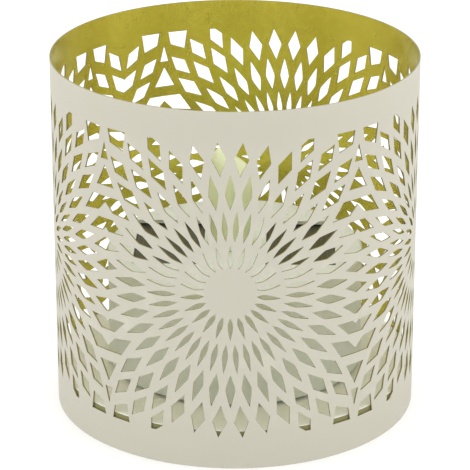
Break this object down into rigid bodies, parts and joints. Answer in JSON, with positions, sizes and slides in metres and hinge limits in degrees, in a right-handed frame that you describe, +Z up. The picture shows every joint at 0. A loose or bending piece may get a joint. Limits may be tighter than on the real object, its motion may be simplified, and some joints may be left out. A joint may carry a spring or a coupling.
{
  "type": "tealight holder",
  "caption": "Round tealight holder of rolled, perforated sheet in a flower pattern, with a lift-out light insert that has solar panes, a flame-shaped lens and a twist-off battery cover.",
  "frame": {"origin": "centre of the holder's foot edge, on the surface it stands on", "axes": "+Z up along the holder's axis, first flower facing -Y, the insert's solar panes left and right of the flame along X"},
  "size_m": [0.1, 0.1, 0.1],
  "materials": {
    "shell_paint": "matt cream powder coat outside, satin gold lacquer inside and on the cut edges",
    "floor_paint": "satin cream-white powder coat",
    "case_plastic": "fine-textured off-white moulding",
    "foot_rubber": "soft translucent grey",
    "cell_dark": "dark silicon under clear resin",
    "seal_rubber": "black foam rubber",
    "lens_plastic": "frosted warm translucent moulding",
    "led_resin": "clear amber resin",
    "spacer_plastic": "black moulding",
    "board_laminate": "green solder mask",
    "chip_plastic": "black moulded package",
    "ferrite": "dark grey ferrite",
    "steel": "zinc-plated steel",
    "battery_wrap": "plain green shrink wrap",
    "switch_plastic": "black moulding"
  },
  "bodies": {
    "holder": {"perforated_shell": "shell_paint", "floor_plate": "floor_paint"},
    "insert": {"insert_feet": "foot_rubber", "insert_base": "case_plastic", "insert_body": "case_plastic", "case_screws": "steel", "cell_seal_left": "seal_rubber", "cell_seal_right": "seal_rubber", "solar_cell_left": "cell_dark", "solar_cell_right": "cell_dark", "flame_lens": "lens_plastic", "led": "led_resin", "led_spacer": "spacer_plastic", "circuit_board": "board_laminate", "board_screws": "steel", "driver_chip": "chip_plastic", "choke_coil": "ferrite", "battery_well": "case_plastic", "battery": "battery_wrap", "contact_plate": "steel", "contact_spring": "steel", "switch_body": "switch_plastic"},
    "cover": {"battery_cover": "case_plastic"},
    "switch": {"switch_knob": "switch_plastic"}
  },
  "joints": [
    {"name": "insert_lift", "type": "slide", "parent": "holder", "child": "insert", "axis": [0, 0, 1], "range_m": [0, 0.12]},
    {"name": "cover_twist", "type": "hinge", "parent": "insert", "child": "cover", "pos_m": [0, 0, 0.0115], "axis": [0, 0, 1], "range_deg": [0, 25]},
    {"name": "switch_slide", "type": "slide", "parent": "insert", "child": "switch", "axis": [1, 0, 0], "range_m": [0, 0.0025]}
  ]
}
